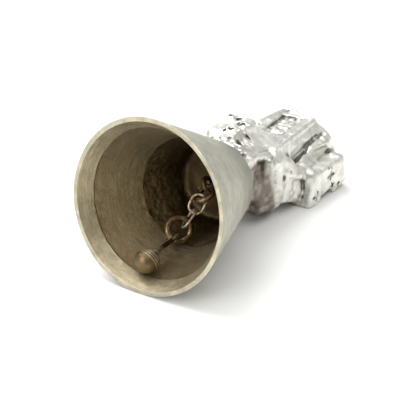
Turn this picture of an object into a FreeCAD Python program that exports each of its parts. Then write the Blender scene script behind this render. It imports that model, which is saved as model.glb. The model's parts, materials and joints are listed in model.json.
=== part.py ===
"""Cast hand bell lying on its side: shell, sculpted handle, chain and ball clapper.

The bell is laid out about its own axis first: X to its side, Y from the mouth
towards the handle, Z away from the floor.  At the end everything is tipped so
that the lip and the handle rest on the floor, and the origin goes to the middle
of the footprint.  Millimetres throughout.
"""
import FreeCAD, Part
import math
import os

Vec = FreeCAD.Vector
OUT = "parts"

# bell shell
MOUTH_R = 40.0              # outer radius of the lip
SHELL_LENGTH = 60.0         # mouth plane to crown face
TAPER = 0.35                # radius lost per millimetre of length
LIP_R_IN = 37.8             # inner edge of the flat lip
BAND_LENGTH = 7.6           # thick sounding band inside the mouth
BAND_R_END = 34.0
BAND_LEDGE = 0.6            # step from the band to the thinner wall
WALL = 2.72                 # radial wall thickness behind the band
STEP_AT = 34.0              # second, shallow step deeper inside
STEP_DEPTH = 0.6
CROWN_WALL = 3.0
SHOULDER_R = 3.2            # rounding between cone and crown
INNER_CORNER_R = 3.0
CORNER_BULGE = 0.2          # bow of a corner arc as a share of its chord

# handle: outlines as (y, z) corners, then the X range of the slab
BEYOND = 200.0              # further than any part of the bell
STEM = ([(60, -16), (60, 17), (68, 22), (84, 27), (96, 22), (106, 14.5), (124, 15),
         (146, 13), (150, 4), (149, -8), (138, -13), (116, -16), (84, -17)], -18, 9)
CREST = ([(66, 10), (70, 22), (84, 26), (94, 20), (96, 10)], -17, 2)
PANEL = ([(90, 8), (92, 14), (120, 17.5), (144, 15), (148, 8)], -18, 7)
FIELD = ([(106, 15.5), (136, 15.5), (136, 20), (106, 20)], -13, 2)
COLUMN = ([(84, 12), (86, -26), (103, -26), (108, -12), (110, 12)], -15, 13)
SIDE_BLOCK = ([(113, -24), (113, -7), (126, -3.5), (142, 1.5), (148, -1.5),
               (148, -11), (140, -15.4), (130, -15.6), (122, -24)], 10, 24)
BACK_FOOT = ([(104, -24), (104, -8), (124, -8), (124, -24)], -18, -8)
WEB = ([(106, -13), (108, 0), (142, 3), (146, -6), (138, -13)], 5, 14)
# handle: bars and hollows as start, end, width, height
NEAR_BEAM = (Vec(13.5, 92, 10.5), Vec(10, 147, 9.5), 7, 8)
BEAM_GROOVE = (Vec(9.2, 104, 13.0), Vec(7.2, 141, 13.5), 2.6, 6)
BEAM_HOLLOW = (Vec(14, 112, 1.5), Vec(12, 143, 3), 8, 7)
RECESS = (Vec(13, 104.5, -11), Vec(13, 113, -11), 6, 12)

# lying pose
TILT = 9.784                # degrees the handle end drops below level

# eye bolt through the crown
EYE_CENTRE_Y = 50.3
EYE_R = 3.6
EYE_WIRE = 1.1
EYE_TURN = -30.0            # eye plane about the bell axis, degrees
BOLT_END_Y = 70.0
BOLT_HOLE_R = 1.35
WASHER_R = 4.4
WASHER_THICK = 0.6
NUT_FLATS = 6.0

# chain
RING_WIRE = 1.3             # wire radius of the upper ring
LINK_WIRE = 0.7             # wire radius of the two small links
LOWER_WIRE = 1.4            # wire radius of the lower ring
UPPER_RING_WIDTH = 9.0
UPPER_LINK_WIDTH = 6.8
LOWER_LINK_WIDTH = 6.1
LOWER_RING_R = 5.35
SHORTEST_SIDE = 0.2         # least straight run in a link's sides
LOOSE_EYE = 1.2             # play at each place where wire crosses wire
LOOSE_RING = 0.95
LOOSE_LINK = 0.45
LOOSE_LOWER = 1.2
LOOSE_HOOK = 0.6
RING_TIP = Vec(0.3, 42.7, -5.9)
LINK_TIP = Vec(-0.2, 39.4, -11.2)
LOWER_CENTRE = Vec(-2.4, 32.3, -18.0)
LOWER_NORMAL = Vec(-0.536, 0.784, -0.315)
LOWER_IN = 88.0             # where the link and the hook cross the lower ring
LOWER_OUT = 236.0
UPPER_RING_TWIST = 60.0     # plane of each link about its own length
UPPER_LINK_TWIST = 0.0
LOWER_LINK_TWIST = 75.0

# clapper
BALL_CENTRE = Vec(-2.2, 8.0, -27.3)
BALL_AXIS = Vec(0.158, 0.860, 0.486).normalize()
NECK_REACH = 9.0
BALL_R = 5.8
GROOVE_R = 0.3
GROOVE_ANGLES = (40.0, 52.0, 64.0)
ROD_R = 1.1
ROD_DEPTH = 3.0             # how far the rod goes into the ball
HOOK_SWEEP = 250.0
HOOK_SLANT = 18.0           # how far the hook leans along the ring's wire
COLLAR_R = 2.3
COLLAR_TOP_R = 1.6
COLLAR_LENGTH = 1.9
COLLAR_SINK = 0.4


def unit(v):
    """The same direction at length one."""
    out = Vec(v)
    return out.normalize()


def polygon_slab(outline, x_low, x_high):
    """A slab with an outline in the YZ plane, between two X values."""
    points = [Vec(x_low, y, z) for y, z in outline]
    face = Part.Face(Part.makePolygon(points + points[:1]))
    return face.extrude(Vec(x_high - x_low, 0, 0))


def bar(start, end, width, height):
    """A square-edged bar between two points, its height as upright as it can be."""
    along = end - start
    across = unit(along.cross(Vec(0, 0, 1)))
    rise = unit(across.cross(along))
    corners = []
    for i, j in ((-1, -1), (1, -1), (1, 1), (-1, 1)):
        corners.append(start + across * (i * width / 2) + rise * (j * height / 2))
    face = Part.Face(Part.makePolygon(corners + corners[:1]))
    return face.extrude(along)


def turned(points):
    """A solid of revolution about Y from (radius, y) points and arcs."""
    edges = []
    last = None
    for item in points:
        if len(item) == 2:
            here = Vec(item[0], item[1], 0)
            if last is not None:
                edges.append(Part.LineSegment(last, here).toShape())
            last = here
        else:
            middle = Vec(item[0], item[1], 0)
            here = Vec(item[2], item[3], 0)
            edges.append(Part.Arc(last, middle, here).toShape())
            last = here
    face = Part.Face(Part.Wire(edges))
    return face.revolve(Vec(0, 0, 0), Vec(0, 1, 0), 360)


def corner_arc(x_a, y_a, x_b, y_b, bulge):
    """Middle point of a shallow arc between two profile points."""
    dx, dy = x_b - x_a, y_b - y_a
    return (x_a + x_b) / 2 - dy * bulge, (y_a + y_b) / 2 + dx * bulge


# ---------------------------------------------------------------- bell shell
def outer_radius(y):
    return MOUTH_R - TAPER * y


def inner_radius(y):
    return outer_radius(y) - WALL


def make_shell():
    crown_in = SHELL_LENGTH - CROWN_WALL
    side_y = SHELL_LENGTH - SHOULDER_R
    flat_r = outer_radius(side_y) - SHOULDER_R
    corner_y = crown_in - INNER_CORNER_R
    corner_r = inner_radius(corner_y) + STEP_DEPTH
    inner_flat_r = corner_r - INNER_CORNER_R
    shoulder = corner_arc(outer_radius(side_y), side_y, flat_r, SHELL_LENGTH, -CORNER_BULGE)
    corner = corner_arc(inner_flat_r, crown_in, corner_r, corner_y, CORNER_BULGE)
    step_r = inner_radius(STEP_AT)
    profile = [
        (BOLT_HOLE_R, crown_in),
        (inner_flat_r, crown_in),
        (corner[0], corner[1], corner_r, corner_y),
        (step_r + STEP_DEPTH, STEP_AT + STEP_DEPTH),
        (step_r, STEP_AT),
        (inner_radius(BAND_LENGTH + BAND_LEDGE), BAND_LENGTH + BAND_LEDGE),
        (BAND_R_END, BAND_LENGTH),
        (LIP_R_IN, 0.0),
        (MOUTH_R, 0.0),
        (outer_radius(side_y), side_y),
        (shoulder[0], shoulder[1], flat_r, SHELL_LENGTH),
        (BOLT_HOLE_R, SHELL_LENGTH),
        (BOLT_HOLE_R, crown_in),
    ]
    return turned(profile)


# -------------------------------------------------------------------- handle
def floor_height(y):
    """Height of the floor at y, measured square to the bell axis."""
    tilt = math.radians(TILT)
    return -(MOUTH_R * math.cos(tilt) - y * math.sin(tilt)) / math.cos(tilt)


def make_handle():
    """One rough casting: a stem with lobes, beams, a side block and feet."""
    body = polygon_slab(*STEM)
    for outline in (CREST, PANEL, COLUMN, SIDE_BLOCK, BACK_FOOT, WEB):
        body = body.fuse(polygon_slab(*outline))
    body = body.fuse(bar(*NEAR_BEAM)).cut(polygon_slab(*FIELD))
    for hollow in (BEAM_GROOVE, BEAM_HOLLOW, RECESS):
        body = body.cut(bar(*hollow))
    ground = [(0, floor_height(0)), (BEYOND, floor_height(BEYOND)), (BEYOND, -BEYOND), (0, -BEYOND)]
    body = body.cut(polygon_slab(ground, -BEYOND, BEYOND))
    bolt = Part.makeCylinder(EYE_WIRE, BOLT_END_Y - SHELL_LENGTH, Vec(0, SHELL_LENGTH, 0), Vec(0, 1, 0))
    return body.cut(bolt).removeSplitter()


# ------------------------------------------------------- eye bolt and fixings
def eye_plane_up():
    turn = math.radians(EYE_TURN)
    return Vec(math.sin(turn), 0, math.cos(turn))


def make_eye_bolt():
    centre = Vec(0, EYE_CENTRE_Y, 0)
    normal = Vec(0, 1, 0).cross(eye_plane_up())
    eye = Part.makeTorus(EYE_R, EYE_WIRE, centre, normal)
    shank_y = EYE_CENTRE_Y + EYE_R
    shank = Part.makeCylinder(EYE_WIRE, BOLT_END_Y - shank_y, Vec(0, shank_y, 0), Vec(0, 1, 0))
    return eye.fuse(shank).removeSplitter()


def make_washer():
    y_low = SHELL_LENGTH - CROWN_WALL - WASHER_THICK
    disc = Part.makeCylinder(WASHER_R, WASHER_THICK, Vec(0, y_low, 0), Vec(0, 1, 0))
    return disc.cut(Part.makeCylinder(BOLT_HOLE_R, WASHER_THICK, Vec(0, y_low, 0), Vec(0, 1, 0)))


def make_nut():
    y_high = SHELL_LENGTH - CROWN_WALL - WASHER_THICK
    y_low = EYE_CENTRE_Y + EYE_R + EYE_WIRE
    reach = NUT_FLATS / math.sqrt(3)
    corners = []
    for k in range(6):
        turn = math.radians(60 * k)
        corners.append(Vec(reach * math.cos(turn), y_low, reach * math.sin(turn)))
    prism = Part.Face(Part.makePolygon(corners + corners[:1])).extrude(Vec(0, y_high - y_low, 0))
    return prism.cut(Part.makeCylinder(EYE_WIRE, y_high - y_low, Vec(0, y_low, 0), Vec(0, 1, 0)))


# --------------------------------------------------------------------- chain
def twisted_across(direction, degrees):
    """Across-direction of a link, turned about its length from the lower ring's plane."""
    first = unit(direction.cross(LOWER_NORMAL))
    second = direction.cross(first)
    turn = math.radians(degrees)
    return first * math.cos(turn) + second * math.sin(turn)


def wire_loop(path_edges, start, tangent, wire_r):
    circle = Part.Wire(Part.makeCircle(wire_r, start, tangent))
    return Part.Wire(path_edges).makePipeShell([circle], True, False)


def oval_link(hinge, tip, behind, width, wire_r, twist):
    """A link round the wire at hinge with its far end wire centred on tip, and its flat direction."""
    along = unit(tip - hinge)
    across = unit(twisted_across(along, twist))
    near = hinge - along * behind
    half = width / 2
    near_c = near + along * half
    far_c = tip - along * half
    if (far_c - near_c).dot(along) < SHORTEST_SIDE:
        far_c = near_c + along * SHORTEST_SIDE
    side = across * half
    edges = [
        Part.Arc(near_c + side, near, near_c - side).toShape(),
        Part.LineSegment(near_c - side, far_c - side).toShape(),
        Part.Arc(far_c - side, far_c + along * half, far_c + side).toShape(),
        Part.LineSegment(far_c + side, near_c + side).toShape(),
    ]
    return wire_loop(edges, near_c + side, along, wire_r), across


def ring_direction(degrees):
    """A direction in the lower ring's plane."""
    first = unit(Vec(0, 1, 0).cross(LOWER_NORMAL))
    second = unit(LOWER_NORMAL).cross(first)
    turn = math.radians(degrees)
    return first * math.cos(turn) + second * math.sin(turn)


def chain_points():
    """Hinge points down the chain, each at the middle of the wire that carries the next."""
    lean = math.sqrt(0.5)
    eye = Vec(0, EYE_CENTRE_Y, 0) + (Vec(0, -1, 0) - eye_plane_up()) * (EYE_R * lean)
    inside = LOWER_RING_R - (LOWER_WIRE + LINK_WIRE + LOOSE_LOWER)
    link_end = LOWER_CENTRE + ring_direction(LOWER_IN) * inside
    hook = LOWER_CENTRE + ring_direction(LOWER_OUT) * LOWER_RING_R
    return eye, RING_TIP, LINK_TIP, link_end, hook


def make_chain():
    """Links as solids, with the hinge axis that each one turns about."""
    eye, ring_tip, link_tip, link_end, hook = chain_points()
    upper_ring, ring_across = oval_link(
        eye, ring_tip, EYE_WIRE + RING_WIRE + LOOSE_EYE,
        UPPER_RING_WIDTH, RING_WIRE, UPPER_RING_TWIST)
    upper_link, upper_across = oval_link(
        ring_tip, link_tip, RING_WIRE + LINK_WIRE + LOOSE_RING,
        UPPER_LINK_WIDTH, LINK_WIRE, UPPER_LINK_TWIST)
    lower_link, lower_across = oval_link(
        link_tip, link_end, 2 * LINK_WIRE + LOOSE_LINK,
        LOWER_LINK_WIDTH, LINK_WIRE, LOWER_LINK_TWIST)
    lower_ring = Part.makeTorus(LOWER_RING_R, LOWER_WIRE, LOWER_CENTRE, LOWER_NORMAL)
    solids = {
        "upper_ring": upper_ring,
        "upper_link": upper_link,
        "lower_link": lower_link,
        "lower_ring": lower_ring,
    }
    eye_tangent = unit(Vec(0, 1, 0) - eye_plane_up())
    hook_tangent = unit(unit(LOWER_NORMAL).cross(ring_direction(LOWER_OUT)))
    axes = [eye_tangent, ring_across, upper_across, lower_across, hook_tangent]
    return solids, [eye, ring_tip, link_tip, link_end, hook], axes


# ------------------------------------------------------------------- clapper
def rod_frame(hook, tangent):
    """Directions for the hook: towards the rod's neck and across the ring's wire."""
    towards = BALL_CENTRE + BALL_AXIS * NECK_REACH - hook
    towards = unit(towards - tangent * towards.dot(tangent))
    slant = math.radians(HOOK_SLANT)
    return towards, tangent.cross(towards) * math.cos(slant) - tangent * math.sin(slant)


def make_rod(hook, tangent):
    towards, across = rod_frame(hook, tangent)
    bend = LOWER_WIRE + ROD_R + LOOSE_HOOK
    start = hook + towards * bend

    def on_bend(degrees):
        turn = math.radians(degrees)
        return hook + (towards * math.cos(turn) + across * math.sin(turn)) * bend

    arc = Part.Arc(start, on_bend(HOOK_SWEEP / 2), on_bend(HOOK_SWEEP)).toShape()
    profile = Part.Wire(Part.makeCircle(ROD_R, start, across))
    curl = Part.Wire([arc]).makePipeShell([profile], True, False)
    neck = BALL_CENTRE + BALL_AXIS * NECK_REACH
    shaft = Part.makeCylinder(ROD_R, (neck - start).Length, start, unit(neck - start))
    root = BALL_CENTRE + BALL_AXIS * (BALL_R - ROD_DEPTH)
    stem = Part.makeCylinder(ROD_R, (neck - root).Length, root, BALL_AXIS)
    rod = curl.fuse(shaft).fuse(stem)
    for corner in (start, neck):
        rod = rod.fuse(Part.makeSphere(ROD_R, corner))
    return rod.removeSplitter()


def make_collar(rod):
    base = BALL_CENTRE + BALL_AXIS * (BALL_R - COLLAR_SINK)
    cone = Part.makeCone(COLLAR_R, COLLAR_TOP_R, COLLAR_LENGTH, base, BALL_AXIS)
    return cone.cut(Part.makeSphere(BALL_R, BALL_CENTRE)).cut(rod)


def make_ball(rod):
    ball = Part.makeSphere(BALL_R, BALL_CENTRE)
    for angle in GROOVE_ANGLES:
        turn = math.radians(angle)
        centre = BALL_CENTRE + BALL_AXIS * (BALL_R * math.cos(turn))
        ball = ball.cut(Part.makeTorus(BALL_R * math.sin(turn), GROOVE_R, centre, BALL_AXIS))
    return ball.cut(rod)


# ------------------------------------------------------------------ assembly
def lying_placement():
    tilt = math.radians(TILT)
    turn = FreeCAD.Rotation(Vec(1, 0, 0), -TILT)
    return FreeCAD.Placement(Vec(0, 0, MOUTH_R * math.cos(tilt)), turn)


def build():
    solids, hinges, axes = make_chain()
    rod = make_rod(hinges[-1], axes[-1])
    solids["bell_shell"] = make_shell()
    solids["handle_casting"] = make_handle()
    solids["eye_bolt"] = make_eye_bolt()
    solids["crown_washer"] = make_washer()
    solids["lock_nut"] = make_nut()
    solids["clapper_rod"] = rod
    solids["clapper_collar"] = make_collar(rod)
    solids["clapper_ball"] = make_ball(rod)
    place = lying_placement()
    for name in solids:
        solids[name].Placement = place.multiply(solids[name].Placement)
    everything = Part.makeCompound(list(solids.values()))
    box = everything.optimalBoundingBox()
    shift = Vec(-(box.XMin + box.XMax) / 2, -(box.YMin + box.YMax) / 2, -box.ZMin)
    for name in solids:
        solids[name].translate(shift)
    place.Base = place.Base + shift
    return solids, hinges, axes, place, box


def main():
    os.makedirs(OUT, exist_ok=True)
    solids, hinges, axes, place, box = build()
    for name, solid in sorted(solids.items()):
        if not solid.isValid():
            raise ValueError(name + " is not a valid solid")
        solid.exportStep(os.path.join(OUT, name + ".step"))
        print(name, round(solid.Volume, 1), "mm3", len(solid.Solids), "solid")
    print("size", round(box.XLength, 2), round(box.YLength, 2), round(box.ZLength, 2))


if __name__ == "__main__":
    main()
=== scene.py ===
"""Looks for the cast hand bell: shell, sculpted handle, chain and ball clapper.

Shapes are worked out in the bell's own frame, in millimetres: X to the bell's side,
Y from the mouth towards the handle, Z away from the floor.  to_row() takes them to
the row frame in metres.
"""
import itertools
import json
import math

import bpy
import numpy as np
import openvdb
from mathutils import Matrix, Vector


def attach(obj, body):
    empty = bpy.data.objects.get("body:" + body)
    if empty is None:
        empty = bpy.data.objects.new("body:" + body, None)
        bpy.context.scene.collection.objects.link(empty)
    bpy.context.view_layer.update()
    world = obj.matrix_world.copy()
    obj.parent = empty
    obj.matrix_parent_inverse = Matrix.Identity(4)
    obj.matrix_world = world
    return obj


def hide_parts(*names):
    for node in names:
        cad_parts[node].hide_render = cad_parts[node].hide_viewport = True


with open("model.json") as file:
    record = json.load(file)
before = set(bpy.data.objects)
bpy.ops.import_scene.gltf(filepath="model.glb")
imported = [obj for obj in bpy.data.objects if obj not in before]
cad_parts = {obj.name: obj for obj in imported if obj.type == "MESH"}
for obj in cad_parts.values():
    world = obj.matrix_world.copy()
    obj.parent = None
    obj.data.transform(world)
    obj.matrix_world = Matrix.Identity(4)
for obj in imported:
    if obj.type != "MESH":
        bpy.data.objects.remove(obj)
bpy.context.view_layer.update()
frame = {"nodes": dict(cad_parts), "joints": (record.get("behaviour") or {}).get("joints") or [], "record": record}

MM = 0.001
MOUTH_R = 40.0
LIP_R_IN = 37.8
TAPER = 0.35            # radius lost for each millimetre away from the mouth
SHELL_LENGTH = 60.0
BAND_LENGTH = 7.6       # sounding band inside the mouth
BAND_R_END = 34.0
BAND_LEDGE = 0.6
WALL = 2.72
STEP_AT = 34.0          # the inside widens a little from here to the crown
STEP_DEPTH = 0.6
CROWN_INNER = 57.0
SHOULDER_R = 3.2
BOLT_HOLE_R = 1.35
SHELL_SIDES = 400
SHELL_STEP = 0.55

CAMERA_AZIMUTH = 33.86
CAMERA_ELEVATION = 26.0
LENS = 108.0
MOUTH_FROM_CAMERA = (-0.59, -0.086, 12.948)      # right, up and ahead, in mouth radii


# ---- the bell's frame
def bell_frame():
    """Mouth centre and the three directions of the bell, from the lip's mount."""
    lip = next(m for m in frame["record"]["mounts"] if m["name"] == "mouth_rim")
    along = -Vector(lip["axis"]).normalized()
    side = Vector((1, 0, 0))
    up = side.cross(along).normalized()
    centre = Vector(lip["pos_m"]) - side * (MM * (MOUTH_R + LIP_R_IN) / 2)
    return centre, side, along, up


CENTRE, SIDE, ALONG, UP = bell_frame()
BASIS = np.array([SIDE, ALONG, UP], float)


def to_row(points):
    """Bell-frame millimetres to row-frame metres."""
    return np.asarray(points, float) @ BASIS * MM + np.array(CENTRE)


def to_bell(point):
    """Row-frame metres to bell-frame millimetres."""
    return (np.asarray(point, float) - np.array(CENTRE)) / MM @ BASIS.T


def unit(v):
    """The same direction, one long."""
    v = np.asarray(v, float)
    return v / np.linalg.norm(v)


# ---- mesh tools
def add_mesh(name, points, faces, material, body):
    """A smooth-shaded piece from bell-frame points, riding on a body."""
    mesh = bpy.data.meshes.new(name)
    mesh.from_pydata(to_row(points).tolist(), [], faces)
    mesh.validate()
    mesh.update()
    mesh.polygons.foreach_set("use_smooth", [True] * len(mesh.polygons))
    piece = bpy.data.objects.new(name, mesh)
    bpy.context.scene.collection.objects.link(piece)
    mesh.materials.append(material)
    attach(piece, body)
    return piece


def ring_faces(rings, sides, close=False):
    """Quads between rings of points, and from the last ring to the first to close them."""
    faces = []
    for i in range(rings if close else rings - 1):
        here, there = i * sides, (i + 1) % rings * sides
        for j in range(sides):
            after = (j + 1) % sides
            faces.append((here + j, here + after, there + after, there + j))
    return faces


def set_attribute(piece, name, values):
    """A number for each point, for the material to read."""
    layer = piece.data.attributes.new(name, "FLOAT", "POINT")
    layer.data.foreach_set("value", np.asarray(values, np.float32))


def set_place(piece, points):
    """Bell-frame millimetres of each point, so that texture rides with the piece."""
    layer = piece.data.attributes.new("place", "FLOAT_VECTOR", "POINT")
    layer.data.foreach_set("vector", np.asarray(points, np.float32).ravel())


def smooth_step(x, low, high):
    """0 below low, 1 above high, with a soft change between."""
    t = np.clip((np.asarray(x, float) - low) / (high - low), 0, 1)
    return t * t * (3 - 2 * t)


def cell_corners(cell, t):
    """The eight corners of each point's cell, and their weights at t across it."""
    for corner in itertools.product((0, 1), repeat=3):
        weight = 1.0
        for k, step in enumerate(corner):
            weight = weight * (t[:, k] if step else 1 - t[:, k])
        yield [cell[:, k] + step for k, step in enumerate(corner)], weight


def lattice_noise(points, scale, seed):
    """Smooth random values between -1 and 1, one for each point, features about `scale` long."""
    rng = np.random.default_rng(seed)
    size = 32
    table = rng.uniform(-1, 1, (size, size, size)).astype(np.float32)
    q = np.asarray(points, np.float32) / scale
    cell = np.floor(q).astype(np.int32)
    t = q - cell
    t = t * t * (3 - 2 * t)
    out = np.zeros(len(q), np.float32)
    for (i, j, k), weight in cell_corners(cell, t):
        out += weight * table[i % size, j % size, k % size]
    return out


# ---- materials
class Paint:
    """A material with its nodes made by short calls."""

    def __init__(self, name):
        self.material = bpy.data.materials.new(name)
        self.material.use_nodes = True
        self.tree = self.material.node_tree
        self.shader = self.tree.nodes["Principled BSDF"]
        self.place = self.attribute("place", "Vector")

    def node(self, kind, **settings):
        made = self.tree.nodes.new(kind)
        for key, value in settings.items():
            setattr(made, key, value)
        return made

    def link(self, source, target):
        self.tree.links.new(source, target)

    def attribute(self, name, output="Fac"):
        return self.node("ShaderNodeAttribute", attribute_name=name).outputs[output]

    def noise(self, stretch, scale, detail, roughness, distortion=0.0):
        """Noise over the bell-frame millimetres, stretched along each direction."""
        mapping = self.node("ShaderNodeMapping")
        mapping.inputs["Scale"].default_value = stretch
        self.link(self.place, mapping.inputs["Vector"])
        made = self.node("ShaderNodeTexNoise")
        for name, value in (("Scale", scale), ("Detail", detail), ("Roughness", roughness),
                            ("Distortion", distortion)):
            made.inputs[name].default_value = value
        self.link(mapping.outputs["Vector"], made.inputs["Vector"])
        return made.outputs["Fac"]

    def ramp(self, source, stops):
        """Colours (or grey levels) at positions along a value."""
        made = self.node("ShaderNodeValToRGB")
        elements = made.color_ramp.elements
        while len(elements) < len(stops):
            elements.new(0.5)
        for element, (position, colour) in zip(elements, stops):
            level = (colour,) * 3 if isinstance(colour, (int, float)) else colour
            element.position = position
            element.color = (*level, 1.0)
        self.link(source, made.inputs["Fac"])
        return made.outputs["Color"]

    def mix(self, factor, first, second, blend="MIX"):
        made = self.node("ShaderNodeMix", data_type="RGBA", blend_type=blend)
        self.feed(factor, made.inputs["Factor"])
        self.feed(first, made.inputs["A"])
        self.feed(second, made.inputs["B"])
        return made.outputs["Result"]

    def overlay(self, amount, below, source, stops):
        """Lighter and darker places over a colour, by a value's ramp."""
        return self.mix(amount, below, self.ramp(source, stops), "OVERLAY")

    def calc(self, first, second, operation="ADD", clamp=False):
        made = self.node("ShaderNodeMath", operation=operation, use_clamp=clamp)
        self.feed(first, made.inputs[0])
        self.feed(second, made.inputs[1])
        return made.outputs[0]

    def times(self, first, second):
        return self.calc(first, second, "MULTIPLY")

    def feed(self, value, socket):
        """A link, a colour or a number into a socket."""
        if isinstance(value, bpy.types.NodeSocket):
            self.link(value, socket)
        elif isinstance(value, tuple):
            socket.default_value = (*value, 1.0)
        else:
            socket.default_value = value

    def bump(self, height, strength, distance):
        """Bump on top of any bump already made."""
        made = self.node("ShaderNodeBump")
        made.inputs["Strength"].default_value = strength
        made.inputs["Distance"].default_value = distance
        self.link(height, made.inputs["Height"])
        normal = self.shader.inputs["Normal"]
        if normal.is_linked:
            self.link(normal.links[0].from_socket, made.inputs["Normal"])
        self.link(made.outputs["Normal"], normal)

    def surface(self, colour, roughness, metallic):
        """The finished material."""
        for name, value in (("Base Color", colour), ("Roughness", roughness), ("Metallic", metallic)):
            self.feed(value, self.shader.inputs[name])
        return self.material


ROUND_MARKS = (0.10, 2.2, 0.10)      # streaks that run round the bell
SCORES = (0.10, 0.9, 0.35)
EVEN = (1.0, 1.0, 1.0)


def shell_metal():
    """Dull cast bell metal: grey outside, warmer and browner deeper inside, with painted shade darkening the deep
    inside.
    """
    paint = Paint("bell_metal")
    tone_and_shade = paint.attribute("tone_and_shade")
    split = paint.node("ShaderNodeSeparateXYZ")
    paint.link(paint.place, split.inputs["Vector"])
    depth_in = paint.times(split.outputs["Y"], 1 / SHELL_LENGTH)
    blotch = paint.noise(EVEN, 0.06, 5.0, 0.6)
    cloud = paint.noise(EVEN, 0.17, 6.0, 0.68, 0.5)
    grain = paint.noise(EVEN, 0.9, 6.0, 0.7)
    marks = paint.noise(ROUND_MARKS, 0.9, 5.0, 0.65, 0.4)
    scores = paint.noise(SCORES, 0.8, 3.0, 0.5, 0.25)
    uneven = paint.times(paint.calc(blotch, 0.5, "SUBTRACT"), 0.22)
    depth = paint.calc(tone_and_shade, uneven, "ADD", True)
    # the darkest stops, deep inside towards the crown, are painted shade
    base = paint.ramp(depth, [
        (0.00, (0.44, 0.432, 0.35)), (0.22, (0.44, 0.425, 0.345)), (0.34, (0.47, 0.415, 0.29)),
        (0.50, (0.50, 0.435, 0.295)), (0.70, (0.41, 0.345, 0.225)), (0.86, (0.18, 0.135, 0.068)),
        (1.00, (0.05, 0.032, 0.012))])
    clouded = paint.overlay(0.45, base, cloud, [(0.30, 0.30), (0.50, 0.50), (0.70, 0.72)])
    streaked = paint.overlay(0.55, clouded, marks, [(0.30, 0.30), (0.50, 0.52), (0.72, 0.80)])
    stained = paint.overlay(0.45, streaked, grain, [(0.32, 0.34), (0.55, 0.52), (0.75, 0.66)])
    # brown crust behind the sounding band and green-grey patches outside
    inside = paint.ramp(tone_and_shade, [(0.42, 0.0), (0.54, 1.0)])
    ledge = paint.ramp(depth_in, [(0.12, 0.0), (0.145, 1.0), (0.26, 0.55), (0.45, 0.0)])
    crust = paint.ramp(cloud, [(0.40, 0.15), (0.60, 1.0)])
    brown = paint.times(paint.times(inside, ledge), crust)
    crusted = paint.mix(paint.times(brown, 0.75), stained, (0.23, 0.135, 0.055))
    outside = paint.ramp(tone_and_shade, [(0.10, 1.0), (0.25, 0.0)])
    bloom = paint.times(outside, paint.ramp(blotch, [(0.50, 0.0), (0.66, 0.6)]))
    greened = paint.mix(bloom, crusted, (0.33, 0.35, 0.265))
    # the outside is darker towards the crown
    toward_crown = paint.times(outside, paint.ramp(depth_in, [(0.55, 0.0), (0.97, 0.62)]))
    dimmed = paint.mix(toward_crown, greened, (0.17, 0.158, 0.122))
    scored = paint.mix(paint.ramp(scores, [(0.66, 0.0), (0.72, 0.30)]), dimmed, (0.72, 0.69, 0.58))
    mean_mark = paint.times(paint.calc(grain, marks), 0.5)
    rough = paint.ramp(mean_mark, [(0.35, 0.30), (0.62, 0.50)])
    paint.bump(cloud, 0.18, 0.0012)
    paint.bump(marks, 0.35, 0.00025)
    paint.bump(grain, 0.45, 0.00030)
    return paint.surface(scored, rough, 0.85)


def handle_metal():
    """Bright rough casting with painted shade in its recesses and creases, a brown tint and worn edges."""
    paint = Paint("cast_handle")
    occlusion_shade = paint.attribute("occlusion_shade")
    tint = paint.attribute("tint")
    blotch = paint.noise(EVEN, 0.16, 5.0, 0.6)
    grain = paint.noise(EVEN, 1.3, 7.0, 0.7)
    pits = paint.node("ShaderNodeTexVoronoi")
    pits.inputs["Scale"].default_value = 0.75
    paint.link(paint.place, pits.inputs["Vector"])
    pit_depth = paint.ramp(pits.outputs["Distance"], [(0.06, 0.0), (0.20, 1.0)])
    base = paint.ramp(blotch, [
        (0.28, (0.60, 0.58, 0.52)), (0.50, (0.77, 0.76, 0.70)), (0.72, (0.90, 0.895, 0.85))])
    speck = paint.times(paint.calc(grain, 0.5, "SUBTRACT"), 0.45)
    # painted shade: recesses and creases darkened in the colour, with grain specks mixed in
    shade_and_speck = paint.calc(occlusion_shade, speck, "ADD", True)
    dark = paint.ramp(shade_and_speck, [(0.30, 1.0), (0.52, 0.72), (0.80, 0.30)])
    dulled = paint.mix(1.0, base, dark, "MULTIPLY")
    brown = paint.mix(tint, dulled, (0.115, 0.080, 0.055))
    dull_places = paint.calc(shade_and_speck, paint.times(grain, 0.4))
    rough = paint.ramp(dull_places, [(0.20, 0.36), (0.55, 0.47), (0.90, 0.62)])
    paint.bump(pit_depth, 0.10, 0.0003)
    paint.bump(grain, 0.28, 0.0004)
    return paint.surface(brown, rough, 0.92)


def wire_metal(name, bright, dull, brown, roughness):
    """Drawn wire with tarnish in patches and bright rubbed places."""
    paint = Paint(name)
    wear_and_highlight = paint.attribute("wear_and_highlight")
    patch = paint.noise(EVEN, 0.45, 5.0, 0.62)
    fine = paint.noise(EVEN, 2.6, 5.0, 0.6)
    tarnish = paint.calc(patch, paint.times(wear_and_highlight, 0.35), "SUBTRACT")
    base = paint.ramp(tarnish, [(0.22, bright), (0.46, dull), (0.70, brown)])
    specked = paint.overlay(0.5, base, fine, [(0.32, 0.30), (0.68, 0.72)])
    rough = paint.ramp(patch, [(0.30, roughness), (0.70, roughness + 0.22)])
    paint.bump(fine, 0.35, 0.00018)
    return paint.surface(specked, rough, 0.95)


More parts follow.
